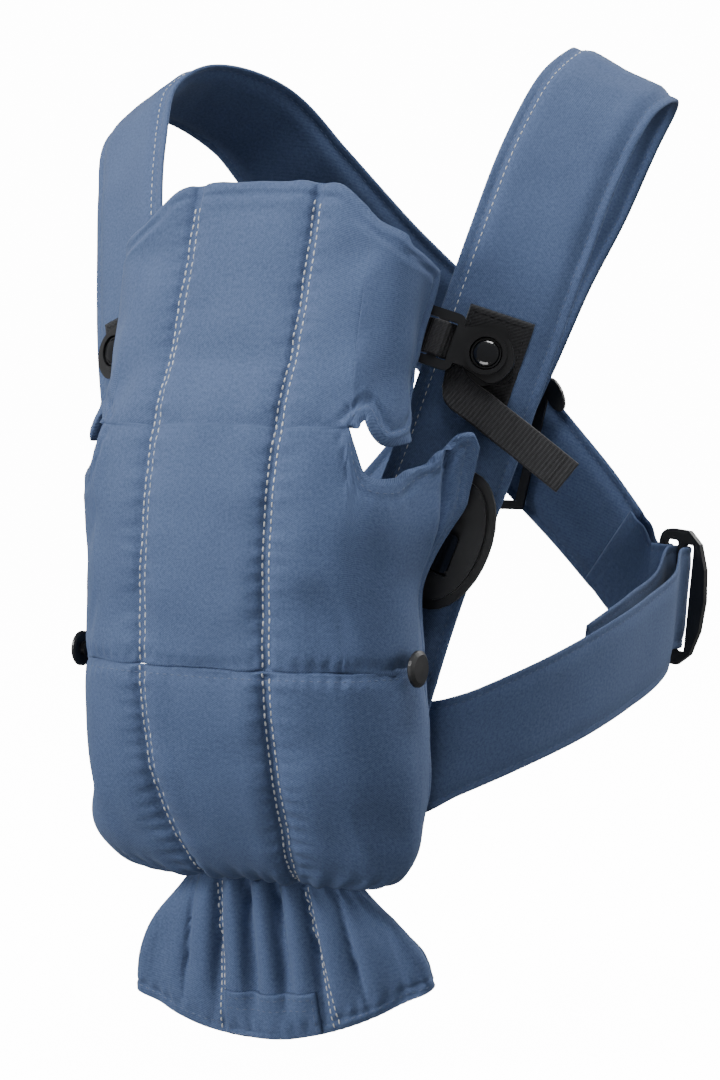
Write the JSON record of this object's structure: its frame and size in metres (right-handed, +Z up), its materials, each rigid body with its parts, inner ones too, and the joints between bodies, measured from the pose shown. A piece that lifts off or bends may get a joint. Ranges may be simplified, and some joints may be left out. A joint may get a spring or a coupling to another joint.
{
  "type": "soft baby carrier",
  "caption": "Soft front baby carrier: crossed padded shoulder straps, padded pouch with fold-down head support, belly pad, waist straps on D-rings, snap clips and side clasps.",
  "frame": {"origin": "midway between the highest lines of the two shoulder straps, where the wearer's shoulders carry the harness", "axes": "+X to the wearer's left, -Y to the front where the pouch hangs, +Z up"},
  "size_m": [0.3322, 0.3221, 0.5071],
  "materials": {
    "cloth": "fine twill with a soft sheen",
    "lining": "soft lining",
    "webbing": "ribbed webbing",
    "plastic": "fine matt",
    "gloss": "polished"
  },
  "bodies": {
    "harness": {"belly_pad": "cloth", "crotch_bridge": "lining", "skirt": "cloth", "hem_tab": "cloth", "cross_ring": "plastic", "shoulder_strap_left": "cloth", "strap_loop_left": "cloth", "waist_strap_left": "cloth", "clip_patch_left": "webbing", "clip_base_left": "plastic", "clasp_plate_left": "plastic", "shoulder_strap_right": "cloth", "strap_loop_right": "cloth", "waist_strap_right": "cloth", "clip_patch_right": "webbing", "clip_base_right": "plastic", "clasp_plate_right": "plastic"},
    "pouch": {"upper_panel": "cloth", "lower_panel": "cloth", "clasp_hook_left": "plastic", "clasp_hook_right": "plastic"},
    "head_support": {"head_flap": "cloth"},
    "left_head_clip": {"head_clip_left": "plastic", "clip_webbing_left": "webbing"},
    "left_button": {"clip_button_left": "gloss"},
    "left_latch": {"clasp_latch_left": "gloss"},
    "left_ring": {"d_ring_left": "plastic"},
    "left_knob": {"seat_knob_left": "plastic"},
    "right_head_clip": {"head_clip_right": "plastic", "clip_webbing_right": "webbing"},
    "right_button": {"clip_button_right": "gloss"},
    "right_latch": {"clasp_latch_right": "gloss"},
    "right_ring": {"d_ring_right": "plastic"},
    "right_knob": {"seat_knob_right": "plastic"}
  },
  "joints": [
    {"name": "front_panel_fold", "type": "hinge", "parent": "harness", "child": "pouch", "pos_m": [0, -0.138, -0.409], "axis": [1, 0, 0], "range_deg": [0, 60]},
    {"name": "head_support_fold", "type": "hinge", "parent": "pouch", "child": "head_support", "pos_m": [0, -0.182, -0.1785], "axis": [1, 0, 0], "range_deg": [0, 118]},
    {"name": "head_clip_release_left", "type": "hinge", "parent": "head_support", "child": "left_head_clip", "pos_m": [0.06952, -0.10285, -0.13295], "axis": [-0.2435, -0.2433, -0.9389], "range_deg": [0, 8]},
    {"name": "clip_button_press_left", "type": "slide", "parent": "harness", "child": "left_button", "axis": [-0.3466, 0.926, -0.15], "range_m": [0, 0.002], "stiffness_N_per_m": 300, "springref_m": -0.001},
    {"name": "clasp_latch_slide_left", "type": "slide", "parent": "harness", "child": "left_latch", "axis": [0.3359, 0.1388, 0.9316], "range_m": [0, 0.008], "stiffness_N_per_m": 60, "springref_m": -0.003},
    {"name": "d_ring_turn_left", "type": "hinge", "parent": "harness", "child": "left_ring", "pos_m": [0.117, 0.108, -0.279], "axis": [0.0995, 0, 0.995], "range_deg": [-3, 3]},
    {"name": "seat_knob_turn_left", "type": "hinge", "parent": "pouch", "child": "left_knob", "pos_m": [0.0942, -0.151, -0.295], "axis": [1, 0, 0], "continuous": true},
    {"name": "head_clip_release_right", "type": "hinge", "parent": "head_support", "child": "right_head_clip", "pos_m": [-0.07058, -0.10545, -0.12921], "axis": [-0.2596, 0.2424, 0.9348], "range_deg": [0, 8]},
    {"name": "clip_button_press_right", "type": "slide", "parent": "harness", "child": "right_button", "axis": [0.3427, 0.9281, -0.1454], "range_m": [0, 0.002], "stiffness_N_per_m": 300, "springref_m": -0.001},
    {"name": "clasp_latch_slide_right", "type": "slide", "parent": "harness", "child": "right_latch", "axis": [-0.402, 0.1348, 0.9057], "range_m": [0, 0.008], "stiffness_N_per_m": 60, "springref_m": -0.003},
    {"name": "d_ring_turn_right", "type": "hinge", "parent": "harness", "child": "right_ring", "pos_m": [-0.117, 0.108, -0.279], "axis": [-0.0995, 0, 0.995], "range_deg": [-3, 3]},
    {"name": "seat_knob_turn_right", "type": "hinge", "parent": "pouch", "child": "right_knob", "pos_m": [-0.0942, -0.151, -0.295], "axis": [1, 0, 0], "continuous": true}
  ]
}
